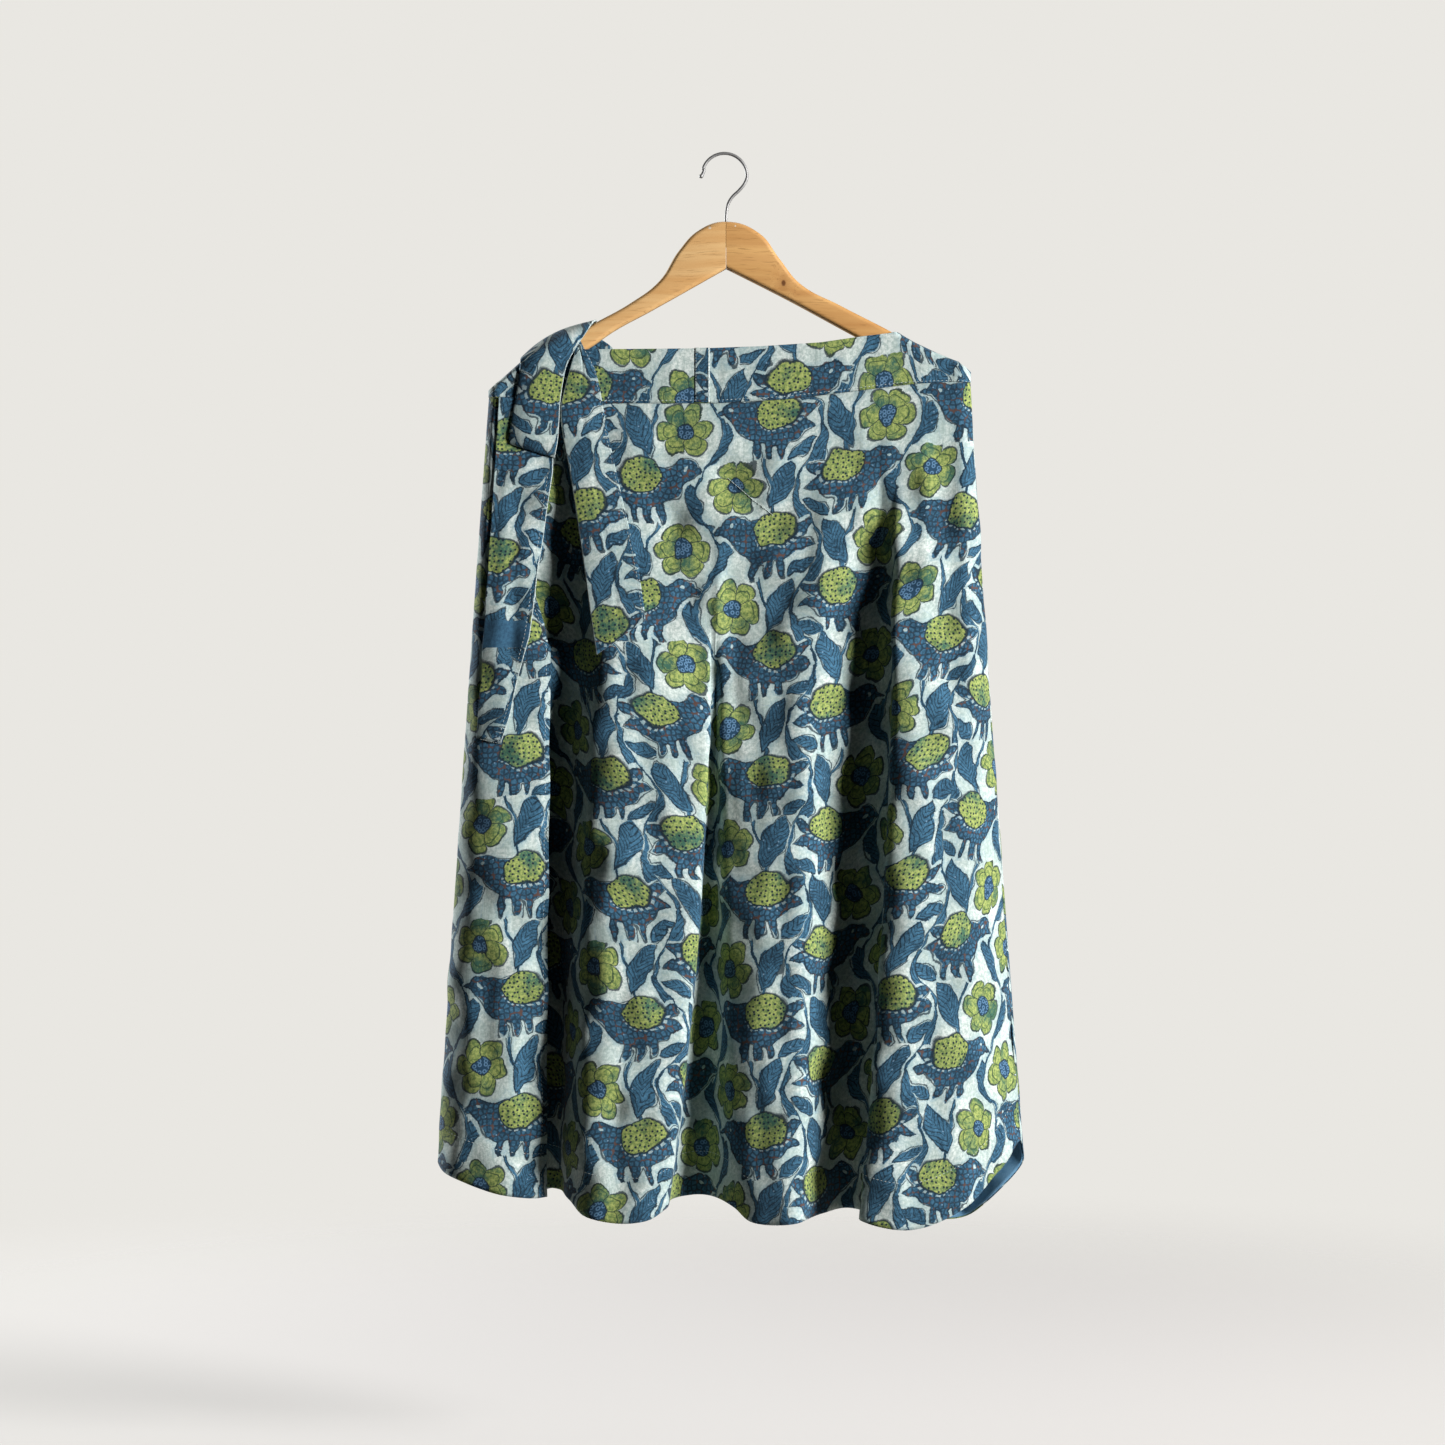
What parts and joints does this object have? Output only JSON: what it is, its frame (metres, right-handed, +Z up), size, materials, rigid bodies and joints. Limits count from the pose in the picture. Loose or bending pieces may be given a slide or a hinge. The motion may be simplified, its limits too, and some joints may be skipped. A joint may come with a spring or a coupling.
{
  "type": "wrap skirt on a hanger",
  "caption": "Long wrap skirt of block-printed cotton with a tie at the waist, hanging open at the hem over a plain wooden coat hanger with a steel hook.",
  "frame": {"origin": "the inner top of the hanger's hook, where the rail or peg carries it, in the middle of the wire", "axes": "+Z up; -Y towards the front of the skirt, where its wrap edge and tie are; +X to the viewer's right in the picture"},
  "size_m": [0.5477, 0.1037, 1.009],
  "materials": {
    "steel": "satin wire",
    "wood_light": "clear satin varnish",
    "wood_dark": "clear satin varnish",
    "printed_cotton": "block-printed plain weave, matt",
    "printed_band": "block-printed plain weave, matt",
    "plain_cotton": "plain dyed cotton, matt"
  },
  "bodies": {
    "root": {"hook": "steel", "hanger_left": "wood_light", "hanger_right": "wood_dark", "front_panel": "printed_cotton", "back_panel": "printed_cotton", "wrap_panel": "printed_cotton", "pocket_front": "printed_cotton", "waistband_front": "printed_band", "waistband_back": "printed_band", "waistband_side": "printed_band", "waistband_end": "printed_band", "tie": "printed_band", "band_slot": "printed_band", "hem_facing_front": "plain_cotton", "hem_facing_back": "plain_cotton"}
  },
  "joints": []
}
